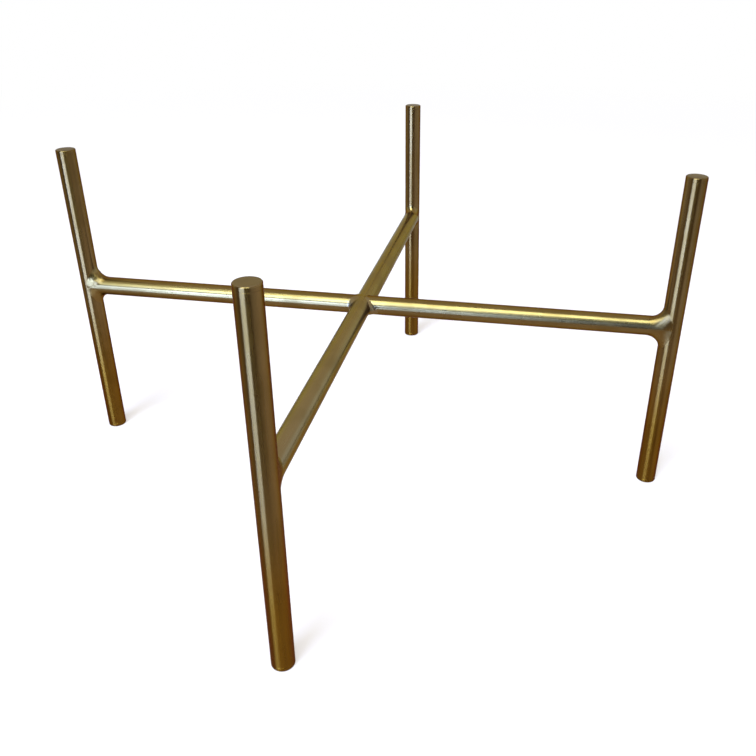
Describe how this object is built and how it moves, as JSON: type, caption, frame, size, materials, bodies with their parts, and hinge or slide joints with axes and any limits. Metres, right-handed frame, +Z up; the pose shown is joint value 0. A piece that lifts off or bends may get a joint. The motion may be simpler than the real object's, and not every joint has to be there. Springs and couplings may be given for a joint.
{
  "type": "plant stand",
  "caption": "Low welded plant stand: upright round tube legs on a level cross of round bars, which carries a pot between the leg tops.",
  "frame": {"origin": "on the floor, under the middle of the cross", "axes": "+Z up; the through bar runs front to back along Y with the front leg at -Y; the half bars run left and right along X"},
  "size_m": [0.325, 0.325, 0.168],
  "materials": {
    "gold_tube": "satin gold plated steel tube",
    "gold_cap": "satin gold plated steel, ground flat",
    "gold_weld": "dressed and polished weld under gold plate"
  },
  "bodies": {
    "root": {"leg_front": "gold_tube", "leg_back": "gold_tube", "leg_left": "gold_tube", "leg_right": "gold_tube", "top_cap_front": "gold_cap", "top_cap_back": "gold_cap", "top_cap_left": "gold_cap", "top_cap_right": "gold_cap", "foot_cap_front": "gold_cap", "foot_cap_back": "gold_cap", "foot_cap_left": "gold_cap", "foot_cap_right": "gold_cap", "through_bar": "gold_tube", "half_bar_left": "gold_tube", "half_bar_right": "gold_tube", "weld_front": "gold_weld", "weld_back": "gold_weld", "weld_left": "gold_weld", "weld_right": "gold_weld", "centre_weld_left": "gold_weld", "centre_weld_right": "gold_weld"}
  },
  "joints": []
}
